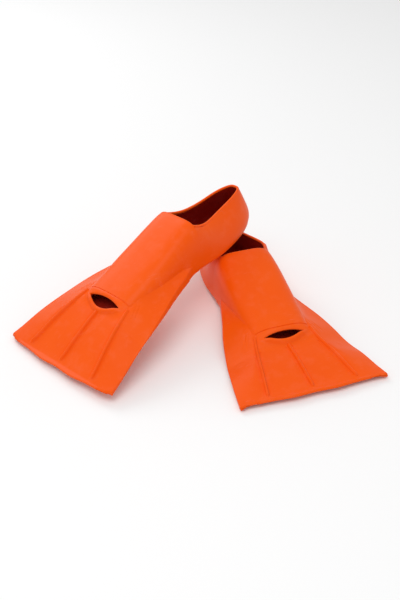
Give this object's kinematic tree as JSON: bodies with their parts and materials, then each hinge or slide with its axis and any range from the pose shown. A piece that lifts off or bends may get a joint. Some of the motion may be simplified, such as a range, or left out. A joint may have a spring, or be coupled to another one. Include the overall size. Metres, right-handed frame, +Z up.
{
  "type": "swim fins",
  "caption": "Pair of short full-foot rubber swim fins with open heel pockets, toe slots and ribbed flexible blades, one fin lying across the other.",
  "frame": {"origin": "on the floor under the middle of the pair's box", "axes": "+Z up; +Y from the standing (right) fin's blade tip to its heel; +X from the leaning (left) fin towards the standing fin"},
  "size_m": [0.4224, 0.3592, 0.1445],
  "materials": {
    "pocket_rubber": "smooth moulded rubber, satin",
    "blade_rubber": "smooth moulded rubber, satin"
  },
  "bodies": {
    "right_foot": {"right_sole": "pocket_rubber", "right_instep_cover": "pocket_rubber", "right_heel_cup": "pocket_rubber", "right_opening_rim": "pocket_rubber", "right_toe_frame": "pocket_rubber", "right_left_wing": "pocket_rubber", "right_right_wing": "pocket_rubber"},
    "right_blade": {"right_blade_web": "blade_rubber", "right_left_rail": "blade_rubber", "right_right_rail": "blade_rubber", "right_left_rib": "blade_rubber", "right_centre_rib": "blade_rubber", "right_right_rib": "blade_rubber"},
    "left_foot": {"left_sole": "pocket_rubber", "left_instep_cover": "pocket_rubber", "left_heel_cup": "pocket_rubber", "left_opening_rim": "pocket_rubber", "left_toe_frame": "pocket_rubber", "left_left_wing": "pocket_rubber", "left_right_wing": "pocket_rubber"},
    "left_blade": {"left_blade_web": "blade_rubber", "left_left_rail": "blade_rubber", "left_right_rail": "blade_rubber", "left_left_rib": "blade_rubber", "left_centre_rib": "blade_rubber", "left_right_rib": "blade_rubber"}
  },
  "joints": [
    {"name": "right_blade_flex", "type": "hinge", "parent": "right_foot", "child": "right_blade", "pos_m": [0.11217, -0.09807, 0.01334], "axis": [1, 0, 0], "range_deg": [-10, 35], "stiffness_Nm_per_rad": 3},
    {"name": "left_fin_lift", "type": "slide", "parent": "right_foot", "child": "left_foot", "axis": [0, 0, 1], "range_m": [0, 0.15]},
    {"name": "left_blade_flex", "type": "hinge", "parent": "left_foot", "child": "left_blade", "pos_m": [-0.10971, 0.00659, 0.04932], "axis": [0.4294, -0.9022, 0.0411], "range_deg": [-25, 25], "stiffness_Nm_per_rad": 3}
  ]
}
